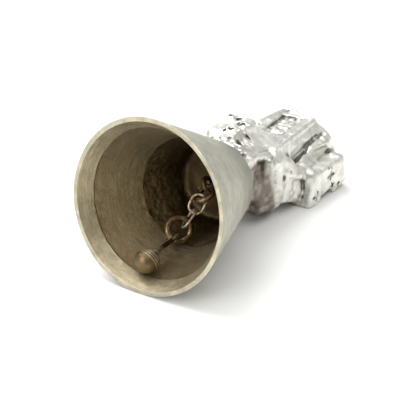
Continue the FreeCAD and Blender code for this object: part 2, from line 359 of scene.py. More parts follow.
def ball_metal():
    """Turned ball, tarnished copper-brown with an olive bloom and a painted highlight on its rubbed ridges."""
    paint = Paint("ball_brass")
    ridge_highlight = paint.attribute("wear_and_highlight")
    bloom = paint.noise(EVEN, 0.20, 4.0, 0.6)
    fine = paint.noise(EVEN, 1.8, 6.0, 0.65)
    base = paint.ramp(bloom, [
        (0.32, (0.26, 0.155, 0.098)), (0.46, (0.17, 0.112, 0.060)), (0.58, (0.15, 0.118, 0.040)),
        (0.74, (0.065, 0.044, 0.022))])
    # painted highlight on the rubbed ridges beside the grooves
    bright = paint.mix(paint.times(ridge_highlight, 0.80), base, (0.80, 0.72, 0.58))
    specked = paint.overlay(0.5, bright, fine, [(0.30, 0.28), (0.70, 0.72)])
    rough = paint.ramp(fine, [(0.30, 0.30), (0.70, 0.52)])
    paint.bump(fine, 0.35, 0.0002)
    return paint.surface(specked, rough, 0.9)


# ---- bell shell
def spaced(start, end, step):
    """Points from start up to, not including, end."""
    count = max(1, int(round(np.linalg.norm(np.subtract(end, start)) / step)))
    return [tuple(np.add(start, np.subtract(end, start) * k / count)) for k in range(count)]


def rounded_run(corners, step):
    """Points along a path of (radius, y, rounding) corners with the corners rounded off."""
    path = []
    for k, (r, y, rounding) in enumerate(corners):
        here = np.array((r, y), float)
        if k in (0, len(corners) - 1) or rounding == 0:
            path.append(here)
            continue
        before = unit(np.array(corners[k - 1][:2]) - here)
        after = unit(np.array(corners[k + 1][:2]) - here)
        start = here + before * rounding
        end = here + after * rounding
        for t in np.linspace(0, 1, 6):
            path.append(start * (1 - t) ** 2 + here * 2 * t * (1 - t) + end * t ** 2)
    out = []
    for first, second in zip(path, path[1:]):
        out += spaced(first, second, step)
    out.append(tuple(path[-1]))
    return np.array(out)


def outer_radius(y):
    """Radius of the cone's outside, y from the mouth."""
    return MOUTH_R - TAPER * y


def shell_profile():
    """Inner face from the crown hole to the mouth, the lip, then the outer face back to the crown."""
    step_r = outer_radius(STEP_AT) - WALL
    corner_r = outer_radius(CROWN_INNER) - WALL + STEP_DEPTH
    ledge_y = BAND_LENGTH + BAND_LEDGE
    inner = [
        (BOLT_HOLE_R, CROWN_INNER, 0), (corner_r, CROWN_INNER, 2.5),
        (step_r + STEP_DEPTH, STEP_AT + STEP_DEPTH, 0.15), (step_r, STEP_AT, 0.3),
        (outer_radius(ledge_y) - WALL, ledge_y, 0.15), (BAND_R_END, BAND_LENGTH, 0.35),
        (LIP_R_IN, 0.0, 0.35), (MOUTH_R, 0.0, 0.45)]
    outer = [
        (outer_radius(SHELL_LENGTH), SHELL_LENGTH, SHOULDER_R), (BOLT_HOLE_R, SHELL_LENGTH, 0)]
    return rounded_run(inner + outer, SHELL_STEP)


def around_noise(x, y, z, scale, seed):
    """Smooth random values over a net of points."""
    flat = np.stack([x, y, z], axis=-1).reshape(-1, 3)
    return lattice_noise(flat, scale, seed).reshape(x.shape)


def shell_relief(r, y, outer, turn):
    """Radius and length after the cast skin, the ragged steps and the uneven lip."""
    across, upright = r * np.cos(turn), r * np.sin(turn)
    slow = around_noise(across, y, upright, 14.0, 1)
    middle = around_noise(across, y, upright, 4.0, 2)
    quick = around_noise(across, y, upright, 1.3, 3)
    edge_wave = around_noise(across, 0 * y, upright, 2.2, 4)
    lip_wave = around_noise(across, y, upright, 11.0, 5)
    inside = (1 - outer) * smooth_step(y, 0.6, 3.0)
    deep = (1 - outer) * smooth_step(y, STEP_AT - 1, STEP_AT + 2)
    # cast skin: slow waves outside, rougher deep inside
    push = outer * (0.16 * slow + 0.05 * middle + 0.02 * quick)
    push += inside * (0.10 * slow + 0.06 * middle + 0.03 * quick) + deep * (0.30 * middle + 0.16 * quick)
    # ragged edges of the sounding band and of the deeper step
    near_ledge = (1 - outer) * np.exp(-((y - BAND_LENGTH) / 1.1) ** 2)
    near_step = (1 - outer) * np.exp(-((y - STEP_AT) / 1.4) ** 2)
    y = y + near_ledge * (0.50 * edge_wave + 0.25 * quick) + near_step * (0.9 * edge_wave + 0.3 * quick)
    r = r - push * smooth_step(r, 3.0, 6.0)
    # the lip is not quite round or flat
    lip = np.exp(-(y / 2.0) ** 2)
    return r, y + lip * (0.22 * lip_wave + 0.10) * smooth_step(r, 30, 36)


def shell_tone(r, y, outer):
    """How far each point is towards the dark brown of the deep inside: cast colour past the band and the step,
    painted shade deepening towards the crown, and a painted shadow line under the band's ledge.
    """
    # the rises from 16 to 34 mm and from 40 to 55 mm are painted shade of the deep inside
    tone_and_shade = (1 - outer) * (
        0.40 + 0.12 * smooth_step(y, BAND_LENGTH - 0.2, BAND_LENGTH + 0.6) + 0.16 * smooth_step(y, 16, 34)
        + 0.16 * smooth_step(y, STEP_AT - 0.5, STEP_AT + 1.5) + 0.14 * smooth_step(y, 40, 55))
    on_lip = smooth_step(r, LIP_R_IN - 0.3, LIP_R_IN + 0.1) * (1 - smooth_step(y, 0.3, 0.9))
    tone_and_shade = tone_and_shade * (1 - on_lip) + 0.28 * on_lip
    # painted shadow line in the undercut under the band's ledge
    ledge_shadow = np.exp(-((y - BAND_LENGTH - BAND_LEDGE) / 0.35) ** 2) * (1 - outer)
    return tone_and_shade + 0.2 * ledge_shadow


def make_shell(material):
    """The bell's cast cone, turned from its profile."""
    profile = shell_profile()
    turn = np.linspace(0, 2 * np.pi, SHELL_SIDES, endpoint=False)
    r, y = (profile[:, k:k + 1] + 0 * turn for k in (0, 1))
    past_lip = np.arange(len(profile)) >= np.argmax(profile[:, 0])
    outer = past_lip[:, None] + 0 * turn
    r, y = shell_relief(r, y, outer, turn)
    points = np.stack([r * np.cos(turn), y, r * np.sin(turn)], axis=-1).reshape(-1, 3)
    faces = ring_faces(len(profile), SHELL_SIDES, close=True)
    shell = add_mesh("bell_shell_cast", points, faces, material, "bell")
    set_attribute(shell, "tone_and_shade", shell_tone(r, y, outer).ravel())
    set_place(shell, points)
    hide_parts("bell_shell")


# ---- handle casting
CLAY_LOW = (-22.0, 57.0, -27.0)
CLAY_HIGH = (28.0, 156.0, 32.0)
CLAY_STEP = 0.42
CLAY_MARGIN = 4.0       # cells this near a form are worked on with it
FAR = 6.0               # distances are kept only up to this
CAST_END = 150.0
SHELTER_REACHES = (1.2, 2.4, 4.0, 6.0)
FLOOR_GAP = 0.05
CROWN_SINK = 0.05       # the stem reaches this far into the crown


class Clay:
    """A block of distances to a surface, shaped by adding and cutting soft-edged forms."""

    def __init__(self):
        counts = [int((high - low) / CLAY_STEP) + 1 for low, high in zip(CLAY_LOW, CLAY_HIGH)]
        self.axes = [low + CLAY_STEP * np.arange(n, dtype=np.float32) for low, n in zip(CLAY_LOW, counts)]
        self.distance = np.full(counts, FAR, np.float32)

    def window(self, low, high):
        """The cells in and around a box."""
        cuts = []
        for axis, a, b in zip(self.axes, low, high):
            first = int(np.searchsorted(axis, a - CLAY_MARGIN))
            last = int(np.searchsorted(axis, b + CLAY_MARGIN))
            cuts.append(slice(first, max(last, first + 1)))
        return tuple(cuts)

    def measured(self, form):
        """The cells around a form, and their distances to it."""
        measure, low, high = form
        cut = self.window(low, high)
        x = self.axes[0][cut[0]][:, None, None]
        y = self.axes[1][cut[1]][None, :, None]
        z = self.axes[2][cut[2]][None, None, :]
        return cut, np.minimum(measure(x, y, z), FAR)

    def add(self, form, blend=1.0):
        """Joins a form on, with a fillet about `blend` wide."""
        cut, new = self.measured(form)
        old = self.distance[cut]
        h = np.clip(0.5 + 0.5 * (old - new) / blend, 0, 1)
        self.distance[cut] = old * (1 - h) + new * h - blend * h * (1 - h)

    def cut(self, form, blend=0.6):
        """Takes a form away, with softened edges."""
        cut, new = self.measured(form)
        old = self.distance[cut]
        h = np.clip(0.5 - 0.5 * (old + new) / blend, 0, 1)
        self.distance[cut] = old * (1 - h) - new * h + blend * h * (1 - h)

    def near(self, reach):
        """Places of the cells close to the surface."""
        index = np.nonzero(np.abs(self.distance) < reach)
        points = np.stack([axis[i] for axis, i in zip(self.axes, index)], axis=1)
        return index, points

    def sample(self, points):
        """Distances at points, blended from the eight cells around each."""
        q = (np.asarray(points, float) - CLAY_LOW) / CLAY_STEP
        top = np.array(self.distance.shape) - 2
        cell = np.clip(np.floor(q).astype(int), 0, top)
        t = np.clip(q - cell, 0, 1)
        return sum(weight * self.distance[i, j, k] for (i, j, k), weight in cell_corners(cell, t))


def turn_matrix(turns):
    """Rotation from degrees about X, Y and Z."""
    rx, ry, rz = (math.radians(t) for t in turns)
    return np.array(Matrix.Rotation(rz, 3, "Z") @ Matrix.Rotation(ry, 3, "Y") @ Matrix.Rotation(rx, 3, "X"))


def rounded_box(centre, half, m, rounding):
    """A box with rounded edges, its directions the columns of m."""
    reach = np.abs(m) @ np.array(half, float)

    def measure(x, y, z):
        x, y, z = x - centre[0], y - centre[1], z - centre[2]
        total, inner = 0.0, -1e3
        for k in range(3):
            local = m[0, k] * x + m[1, k] * y + m[2, k] * z
            over = np.abs(local) - (half[k] - rounding)
            total = total + np.maximum(over, 0) ** 2
            inner = np.maximum(inner, over)
        return np.sqrt(total) + np.minimum(inner, 0) - rounding

    return measure, np.subtract(centre, reach), np.add(centre, reach)


def block(centre, half, turns=(0, 0, 0), rounding=1.0):
    """A rounded box turned by degrees about X, Y and Z."""
    return rounded_box(centre, half, turn_matrix(turns), rounding)


def lump(centre, half, turns=(0, 0, 0)):
    """An egg shape."""
    m = turn_matrix(turns)
    reach = np.abs(m) @ np.array(half, float)

    def measure(x, y, z):
        x, y, z = x - centre[0], y - centre[1], z - centre[2]
        first, second = 0.0, 0.0
        for k in range(3):
            local = m[0, k] * x + m[1, k] * y + m[2, k] * z
            first = first + (local / half[k]) ** 2
            second = second + (local / half[k] ** 2) ** 2
        first = np.sqrt(first)
        return first * (first - 1) / np.maximum(np.sqrt(second), 1e-6)

    return measure, np.subtract(centre, reach), np.add(centre, reach)


def stick(start, end, r_start, r_end=None):
    """A round-ended rod, perhaps tapered."""
    r_end = r_start if r_end is None else r_end
    start, end = np.array(start, float), np.array(end, float)
    along = end - start
    length2 = float(along @ along)
    r = max(r_start, r_end)

    def measure(x, y, z):
        x, y, z = x - start[0], y - start[1], z - start[2]
        t = np.clip((x * along[0] + y * along[1] + z * along[2]) / length2, 0, 1)
        gap = np.sqrt((x - t * along[0]) ** 2 + (y - t * along[1]) ** 2 + (z - t * along[2]) ** 2)
        return gap - (r_start + (r_end - r_start) * t)

    return measure, np.minimum(start, end) - r, np.maximum(start, end) + r


def rail(start, end, width, height, rounding=0.8, roll=0.0):
    """A rounded bar between two points, its height as upright as it can be."""
    start, end = np.array(start, float), np.array(end, float)
    along = unit(end - start)
    across = unit(np.cross(along, (0, 0, 1)))
    rise = np.cross(across, along)
    c, s = math.cos(math.radians(roll)), math.sin(math.radians(roll))
    m = np.stack([across * c + rise * s, along, rise * c - across * s], axis=1)
    half = (width / 2, np.linalg.norm(end - start) / 2, height / 2)
    return rounded_box((start + end) / 2, half, m, rounding)


def cross_mark(clay, centre, face, size, turn, depth=0.65):
    """Two crossed scratches cut into a face."""
    face = unit(face)
    first = unit(np.cross(face, (0, 0, 1)) if abs(face[2]) < 0.9 else np.cross(face, (0, 1, 0)))
    second = np.cross(face, first)
    for angle, length in ((turn, size * 1.2), (turn + 82, size)):
        a = math.radians(angle)
        arm = (first * math.cos(a) + second * math.sin(a)) * length / 2
        clay.cut(stick(np.array(centre) - arm, np.array(centre) + arm, depth * 0.9, depth), 0.3)


def sculpt_body(clay):
    """The stem, its lobe at the crown, and the block under the panel."""
    clay.add(block((-1.5, 66, -1), (13, 9, 14.5), rounding=4.0), 1)
    clay.add(block((-3.5, 102, -1), (12.5, 28, 12.5), rounding=3.0), 3)
    clay.add(block((-4, 128, 0.5), (12.5, 22, 12), (3, 0, 0), 2.5), 2)
    clay.add(block((-8.8, 84.0, 12.0), (9.6, 11.5, 11.2), (14, -8, 0), 4.5), 3.0)
    clay.add(lump((-4, 68.5, 9.5), (14.0, 8.5, 7.6)), 2.5)
    clay.add(lump((-14, 88.5, 18.6), (4.6, 6.8, 6.8)), 2.5)
    clay.add(lump((-1, 80, 11.5), (9.5, 10, 6.5)), 3)


def sculpt_panel(clay):
    """The raised four-sided panel on top, with its border and sunken rough field."""
    clay.add(block((-4.0, 118, 10.9), (11.6, 28.0, 4.2), (5.2, 0, 7.5), 1.4), 1.2)
    clay.add(block((-11.5, 137, 12.6), (7.0, 12.5, 4.2), (5.2, 0, 4.0), 1.2), 1.0)
    clay.cut(block((-6.0, 127, 18.2), (5.6, 15.0, 4.3), (5.2, 0, 9.0), 0.9), 0.9)
    clay.add(rail((8.9, 98.5, 11.9), (2.6, 144.5, 16.6), 2.6, 2.6, 1.1), 0.8)
    clay.add(rail((2.6, 144.5, 16.4), (-15.5, 149.0, 18.2), 2.6, 2.6, 1.0), 0.8)
    clay.add(rail((-17.2, 121, 14.6), (-16.2, 147, 18.0), 3.0, 2.8, 1.0), 0.8)
    # low edge that runs round the panel's near corner
    edge = [(-2.0, 83.0, 11.8), (5.5, 88.5, 11.2), (8.9, 98.5, 11.6)]
    for first, second in zip(edge, edge[1:]):
        clay.add(stick(first, second, 1.3, 1.2), 0.9)
    # fine ribs across the near part of the panel
    for k in range(13):
        y = 93.0 + 2.0 * k
        clay.cut(stick((-9.5 + 0.05 * k, y, 15.2 + 0.19 * k), (-3.6, y + 3.4, 14.6 + 0.19 * k), 0.34), 0.3)
    # cast lumps in the sunken field
    rng = np.random.default_rng(11)
    for _ in range(30):
        x, y = rng.uniform(-10.5, -1), rng.uniform(113, 141)
        size = rng.uniform(0.9, 2.0)
        clay.add(lump((x, y, 13.1 + 0.09 * (y - 120)), (size, size * rng.uniform(0.8, 1.9), size * 0.7),
                      (0, 0, rng.uniform(-60, 60))), 0.6)


def sculpt_beams(clay):
    """The panel's sloping side, a dark groove, and the beam that climbs beside it."""
    clay.add(rail((5.2, 98, 6.6), (1.8, 146, 11.6), 7.6, 9.0, 1.6, -10), 1.0)
    clay.add(rail((12.4, 112, -3.4), (11.0, 143.0, 6.6), 5.4, 8.6, 2.4), 1.0)
    clay.add(stick((11.0, 142.0, 7.2), (12.0, 147.5, 1.0), 3.6, 3.4), 1.5)
    clay.add(stick((12.0, 147.0, 1.5), (6.0, 146.5, -8.0), 3.6, 4.0), 1.8)
    clay.add(stick((2.0, 147.0, 12.5), (10.0, 146.8, 8.5), 3.2, 3.0), 1.5)
    clay.add(block((3.0, 138, 2.0), (9.0, 11.0, 7.0), (10, 0, 0), 2.0), 1.5)
    clay.cut(rail((9.9, 111.0, 4.6), (8.6, 139.0, 13.2), 1.5, 5.0, 0.6), 0.7)
    clay.cut(lump((10.2, 113.5, 4.0), (1.6, 4.0, 2.4)), 0.6)
    clay.cut(rail((8.0, 100, 13.6), (1.0, 143, 18.3), 0.6, 1.5, 0.3), 0.4)
    clay.cut(stick((13.4, 128, 4.2), (12.6, 131, 8.6), 0.9, 0.6), 0.6)


def sculpt_column(clay):
    """The upright ridged column that reaches the floor, and the rough wall beside it."""
    clay.add(block((0.0, 92, -7.5), (11.2, 10.0, 13.0), rounding=3.5), 2.0)
    clay.add(stick((10.6, 84.0, 6.5), (8.6, 92.5, -16.0), 3.6, 3.8), 2.5)
    clay.add(stick((10.6, 93.0, 6.0), (9.4, 100.0, -15.0), 3.8, 3.6), 2.5)
    clay.add(lump((-0.5, 96.0, -18.5), (10.0, 8.5, 5.2)), 2.5)
    clay.add(stick((9.0, 91.0, 7.5), (11.5, 103.0, 3.0), 3.4, 3.6), 2.5)
    clay.add(lump((13.0, 104, -0.5), (3.4, 6.0, 4.4)), 1.6)
    clay.add(lump((14.2, 110, -2.6), (4.0, 6.5, 3.6), (0, 0, -8)), 1.2)
    clay.cut(lump((16.9, 106.0, -6.0), (2.4, 3.2, 1.6)), 0.6)
    # dark slanting face between the crown and the column
    clay.cut(block((19.0, 74.0, -4.0), (8.0, 12.0, 11.5), (28, 0, -9), 1.5), 1.0)
    clay.cut(stick((13.0, 66, 3), (11.0, 74, -13), 1.8, 1.6), 1.0)
    # rough wall between column and side block
    clay.add(block((5.6, 111, -9.5), (9.4, 12.0, 8.0), (-8, 0, 0), 1.5), 1.6)
    clay.add(lump((12.8, 113.5, -10.5), (4.2, 7.5, 8.5)), 2.0)
    clay.add(lump((11.0, 102.5, -8.5), (3.6, 4.5, 8.0)), 2.0)
    rng = np.random.default_rng(5)
    for _ in range(30):
        y, z = rng.uniform(102, 119), rng.uniform(-16.0, -3.5)
        size = rng.uniform(0.9, 2.0)
        clay.add(lump((14.7, y, z), (size * 0.6, size * rng.uniform(0.7, 1.7), size * rng.uniform(0.6, 1.2)),
                      (rng.uniform(-50, 50), 0, 0)), 0.5)


def sculpt_side_block(clay):
    """The block on the near side: a blunt boss, a flat marked face and a rounded far end."""
    clay.add(block((16.0, 131, -7.5), (6.5, 16.5, 7.6), (14, 0, -3), 2.4), 1.0)
    clay.add(block((17.0, 119, -12.5), (5.6, 5.8, 8.5), rounding=2.2), 1.2)
    clay.add(stick((18.2, 116.5, -4.8), (14.0, 116.0, -2.8), 4.6, 4.4), 1.2)
    clay.add(stick((19.0, 141.5, -2.2), (17.5, 143.5, -7.0), 5.2, 5.4), 1.4)
    clay.add(block((18.6, 141.5, -9.0), (4.6, 7.0, 6.4), (20, 0, -2), 2.4), 1.2)
    clay.add(block((8.0, 132, -8.0), (7.0, 13.0, 6.5), (10, 0, 0), 2.0), 1.5)
    clay.cut(lump((23.5, 117.0, -0.6), (2.2, 2.6, 2.2)), 0.8)
    clay.cut(lump((15.0, 129, 3.6), (3.4, 12, 3.0), (10, 0, 0)), 1.6)
    for place, size, turn in (((22.6, 119.5, -14.6), 5.4, 12), ((22.3, 132.0, -0.6), 4.4, 30),
                              ((22.4, 132.5, -6.2), 4.2, 14), ((22.8, 144.0, -8.4), 4.0, 22),
                              ((22.6, 141.5, -11.2), 4.2, 5), ((22.4, 135.0, -11.6), 3.2, 40)):
        cross_mark(clay, place, (1.0, -0.1, 0.1), size, turn)
    cross_mark(clay, (16.6, 102.6, -1.2), (1.0, -0.3, 0.3), 4.6, 45, 0.6)


def sculpt_back(clay):
    """The far side and underside, in the same manner: slabs, ridges, pits and feet."""
    clay.add(block((-13.5, 122, -3.0), (4.0, 22, 7.5), (2, 0, 0), 1.4), 0.8)
    clay.cut(block((-19.2, 124, -2.0), (2.6, 14, 4.2), (2, 0, 0), 0.8), 0.6)
    clay.add(stick((-15.0, 88, 8.0), (-13.5, 95, -18.0), 3.4, 4.0), 1.0)
    clay.add(stick((-14.6, 98, 6.0), (-12.5, 106, -18.5), 2.8, 3.8), 0.8)
    clay.add(block((-12.0, 114, -14.5), (5.0, 9.5, 6.0), rounding=2.0), 1.0)
    clay.cut(rail((-17.5, 106, 9.6), (-17.5, 146, 11.4), 1.5, 2.4, 0.5), 0.4)
    clay.cut(lump((-19.5, 73.0, 1.0), (6.5, 10.0, 11.0)), 2.5)
    for place, size, turn in (((-17.4, 116, 1.5), 5, 20), ((-17.2, 130, -5.5), 5.4, 50),
                              ((-17.5, 138, 3.0), 4.2, 5)):
        cross_mark(clay, place, (-1, 0, 0), size, turn)
    rng = np.random.default_rng(23)
    for _ in range(22):
        y, z = rng.uniform(111, 137), rng.uniform(-6, 2)
        size = rng.uniform(0.8, 1.8)
        clay.add(lump((-16.4, y, z), (size, size * rng.uniform(0.8, 1.6), size)), 0.4)


def drop_to_clay(clay, start):
    """How far below a point the surface lies."""
    drops = np.arange(0, 30, CLAY_STEP)
    found = clay.sample(start - drops[:, None] * np.array((0, 0, 1.0)))
    return float(drops[np.argmax(found < 0)])


def sculpt_hem(clay):
    """The lumpy rope of metal where the handle meets the crown."""
    route = [(-16, 65.5, 13), (-10, 63.0, 16), (-3, 62.0, 17.2), (4, 62.5, 16.4), (8.5, 66, 13.6),
             (9.6, 72, 11.6), (9.8, 79, 10.6), (9.8, 86, 10.2)]
    for k, (first, second) in enumerate(zip(route, route[1:])):
        clay.add(stick(first, second, 1.7 + 0.3 * (k % 2), 1.6 + 0.3 * ((k + 1) % 2)), 1.2)
    rng = np.random.default_rng(3)
    for first, second in zip(route, route[1:]):
        for _ in range(3):
            t = rng.uniform(0, 1)
            place = np.array(first) * (1 - t) + np.array(second) * t + rng.uniform(-1, 1, 3)
            clay.add(lump(place, rng.uniform(0.8, 1.7, 3)), 0.5)
    # cast lumps and pits on the lobe beside it
    for _ in range(22):
        spot = np.array((rng.uniform(-12, 3), rng.uniform(68, 90), 30.0))
        spot[2] -= drop_to_clay(clay, spot) + 0.3
        form = lump(spot, rng.uniform(0.7, 1.6, 3))
        if rng.uniform() < 0.6:
            clay.add(form, 1.0)
        else:
            clay.cut(form, 0.5)
    clay.cut(lump((-13.4, 88.0, 25.6), (1.6, 2.2, 1.8)), 0.4)


def roughen(clay):
    """Casting skin: slow swells and finer grain, stronger in the rough places."""
    index, points = clay.near(2.0)
    rough = smooth_step(points[:, 1], 96, 70) * smooth_step(points[:, 2], 4, 14)
    in_recess = (points[:, 0] > 8) & (points[:, 1] > 103) & (points[:, 1] < 121) & (points[:, 2] < -4)
    swell = 0.32 * lattice_noise(points, 5.0, 31) + 0.22 * lattice_noise(points, 2.1, 32)
    grain = (0.06 + 0.16 * rough + 0.12 * in_recess) * lattice_noise(points, 1.0, 33)
    clay.distance[index] += (swell + grain).astype(np.float32)


def trim(clay):
    """Keeps the casting out of the crown, above the floor and inside its own block of space."""
    y = clay.axes[1][None, :, None]
    z = clay.axes[2][None, None, :]
    height = CENTRE[2] / MM + y * float(ALONG[2]) + z * float(UP[2])
    for outside in (FLOOR_GAP - height, SHELL_LENGTH - CROWN_SINK - y, y - CAST_END):
        clay.distance = np.maximum(clay.distance, outside)


def neighbour_mean(points, edges, rounds):
    """Points moved to the middle of their neighbours, over and over."""
    count = np.zeros(len(points))
    np.add.at(count, edges[:, 0], 1)
    np.add.at(count, edges[:, 1], 1)
    out = points.copy()
    for _ in range(rounds):
        total = np.zeros_like(out)
        for k in range(3):
            total[:, k] = np.bincount(edges[:, 0], out[edges[:, 1], k], len(out))
            total[:, k] += np.bincount(edges[:, 1], out[edges[:, 0], k], len(out))
        out = 0.4 * out + 0.6 * total / count[:, None]
    return out


def largest_piece(points, quads):
    """The biggest connected surface, without loose specks."""
    label = np.arange(len(points))
    while True:
        low = label[quads].min(axis=1)
        before = label.copy()
        for k in range(4):
            np.minimum.at(label, quads[:, k], low)
        label = label[label]
        if np.array_equal(before, label):
            break
    values, counts = np.unique(label, return_counts=True)
    keep = label == values[np.argmax(counts)]
    return points[keep], (np.cumsum(keep) - 1)[quads[keep[quads[:, 0]]]]


def clay_surface(clay):
    """The casting's surface: points, quads facing out, and edges."""
    volume = openvdb.FloatGrid(FAR)
    volume.copyFromArray(clay.distance)
    points, quads = volume.convertToQuads(0.0)
    points = np.array(points, float) * CLAY_STEP + CLAY_LOW
    points, quads = largest_piece(points, np.array(quads, int))
    a, b, c = points[quads[:, 0]], points[quads[:, 1]], points[quads[:, 2]]
    if np.einsum("ij,ij->", a, np.cross(b, c)) < 0:
        quads = quads[:, ::-1]
    pairs = np.concatenate([quads[:, [k, (k + 1) % 4]] for k in range(4)])
    edges = np.unique(np.sort(pairs, axis=1), axis=0)
    return neighbour_mean(points, edges, 1), quads, edges


def point_normals(piece):
    """Bell-frame directions of a piece's points."""
    normals = np.zeros(len(piece.data.vertices) * 3, np.float32)
    piece.data.vertices.foreach_get("normal", normals)
    return normals.reshape(-1, 3).astype(float) @ BASIS.T


def shelter_of(clay, points, normals):
    """How far the casting itself closes each point in."""
    shelter = np.zeros(len(points))
    for reach in SHELTER_REACHES:
        found = clay.sample(points + normals * reach)
        shelter += np.clip((min(reach, FAR) - found) / reach, 0, 1.5) / len(SHELTER_REACHES)
    return shelter


def stain_of(points, shelter):
    """Brown stain: the hollow behind the crown, the pits of the lobe, patches on its top."""
    slanted = points[:, 1] - 0.55 * (8 - points[:, 2])
    stain = 0.9 * smooth_step(slanted, 84.3, 79.0) * smooth_step(points[:, 2], 11, 6)
    stain *= 0.45 + 0.55 * smooth_step(points[:, 0], -6, 4)
    stain *= 0.78 + 0.22 * smooth_step(lattice_noise(points, 2.4, 92), -0.4, 0.3)
    stain += 0.55 * smooth_step(shelter, 0.25, 0.7) * smooth_step(points[:, 1], 100, 70)
    patches = smooth_step(lattice_noise(points, 6.0, 91), 0.0, 0.6)
    stain += 0.30 * patches * smooth_step(points[:, 1], 92, 72) * smooth_step(points[:, 2], 10, 16)
    return np.clip(stain, 0, 0.85)


def make_handle(material):
    """The sculpted casting, with painted shade for its hollows and creases and its stains noted for the material.
    """
    clay = Clay()
    for work in (sculpt_body, sculpt_panel, sculpt_beams, sculpt_column, sculpt_side_block, sculpt_back,
                 sculpt_hem, roughen, trim):
        work(clay)
    points, quads, edges = clay_surface(clay)
    handle = add_mesh("handle_cast", points, quads.tolist(), material, "bell")
    normals = point_normals(handle)
    shelter = shelter_of(clay, points, normals)
    curved = np.einsum("ij,ij->i", neighbour_mean(points, edges, 10) - points, normals)
    # painted shade, darker where the casting closes a point in and in its creases
    occlusion_shade = np.clip(0.9 * smooth_step(shelter, 0.16, 0.75) + 1.6 * curved + 0.16, 0, 1)
    set_attribute(handle, "occlusion_shade", occlusion_shade)
    set_attribute(handle, "tint", stain_of(points, shelter))
    set_place(handle, points)
    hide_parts("handle_casting")


# ---- chain and clapper
LOWER_NORMAL = unit((-0.536, 0.784, -0.315))
LOWER_CENTRE = np.array((-2.4, 32.3, -18.0))
LOWER_RING_R = 5.35
LOWER_WIRE = 1.4
RING_SEAM = 150         # degrees
RING_OPENING = 4
RING_WIRE = 1.3
LINK_WIRE = 0.7
ROD_R = 1.1
HOOK_PLAY = 0.6
HOOK_SLANT = 18.0
NECK_REACH = 9.0
BALL_AXIS = unit((0.158, 0.860, 0.486))
UPPER_RING_WIDTH = 9.0
UPPER_LINK_WIDTH = 6.8
LOWER_LINK_WIDTH = 6.1
RING_PLAY = 1.2         # each one's reach past the wire it hangs on
UPPER_PLAY = 0.95
LOWER_PLAY = 0.45
EYE_CENTRE = np.array((0.0, 50.3, 0.0))
EYE_R = 3.6
EYE_WIRE = 1.1
SHANK_END = 69.5
BALL_CENTRE = np.array((-2.2, 8.0, -27.3))
BALL_R = 5.8
BALL_SIDES = 96
BALL_GROOVES = ((40, 0.45), (54, 0.60), (68, 0.60), (82, 0.48))      # degrees from the collar, depth
COLLAR_PROFILE = ((1.0, 0.0), (2.35, 0.0), (2.5, 0.25), (2.35, 0.6), (2.0, 0.9), (1.95, 1.3), (1.75, 1.6),
                  (1.6, 1.95), (1.25, 2.1), (1.0, 2.1), (1.0, 0.0))  # radius, height on the ball
LINK_STEP = 0.25
WIRE_SIDES = 28
END_STEPS = 5


def joint(name):
    """A joint's point and axis in the bell's frame."""
    found = next(j for j in frame["joints"] if j["name"] == name)
    return to_bell(found["pos_m"]), unit(np.array(found["axis"], float) @ BASIS.T)


def circle(turn, first, second):
    """Unit directions at angles from first towards second."""
    return np.outer(np.cos(turn), first) + np.outer(np.sin(turn), second)


def smooth_path(points, rounds):
    """A path with its corners worn down and its ends kept."""
    out = np.array(points, float)
    for _ in range(rounds):
        before, after = np.roll(out, 1, axis=0), np.roll(out, -1, axis=0)
        relaxed = 0.5 * out + 0.25 * (before + after)
        relaxed[0], relaxed[-1] = out[0], out[-1]
        out = relaxed
    return out


def even_path(points, step, closed=False):
    """The same path with evenly spaced points."""
    line = np.vstack([points, points[:1]]) if closed else np.asarray(points, float)
    lengths = np.linalg.norm(np.diff(line, axis=0), axis=1)
    travelled = np.concatenate([[0], np.cumsum(lengths)])
    count = max(8, int(travelled[-1] / step))
    wanted = np.linspace(0, travelled[-1], count, endpoint=not closed)
    return np.stack([np.interp(wanted, travelled, line[:, k]) for k in range(3)], axis=1)


def carried_across(path):
    """Directions along a path, and a sideways direction carried along without twist."""
    ahead = np.roll(path, -1, axis=0) - np.roll(path, 1, axis=0)
    ahead[0], ahead[-1] = path[1] - path[0], path[-1] - path[-2]
    ahead /= np.linalg.norm(ahead, axis=1, keepdims=True)
    across = np.zeros_like(path)
    across[0] = unit(np.cross(ahead[0], (0.31, 0.52, 0.79)))
    for k in range(1, len(path)):
        across[k] = unit(across[k - 1] - ahead[k] * (across[k - 1] @ ahead[k]))
    return ahead, across


def round_ends(path, ahead, across, radius):
    """A wire's path, radii and directions with END_STEPS more rings at each end, drawn in to a dome."""
    bend = np.linspace(0, 1, END_STEPS, endpoint=False)
    shrink = np.sqrt(np.clip(1 - (1 - bend) ** 2, 0.0, 1)) * 0.98 + 0.02
    inset = radius * 0.35
    start = path[0] + ahead[0] * (inset * (bend[:, None] - 1))
    end = path[-1] + ahead[-1] * (inset * (1 - bend[::-1, None]))
    rise = np.cross(ahead, across)
    across, rise = (np.vstack([np.repeat(way[:1], END_STEPS, 0), way, np.repeat(way[-1:], END_STEPS, 0)])
                    for way in (across, rise))
    radii = np.concatenate([radius * shrink, np.full(len(path), radius), radius * shrink[::-1]])
    return np.vstack([start, path, end]), radii, across, rise


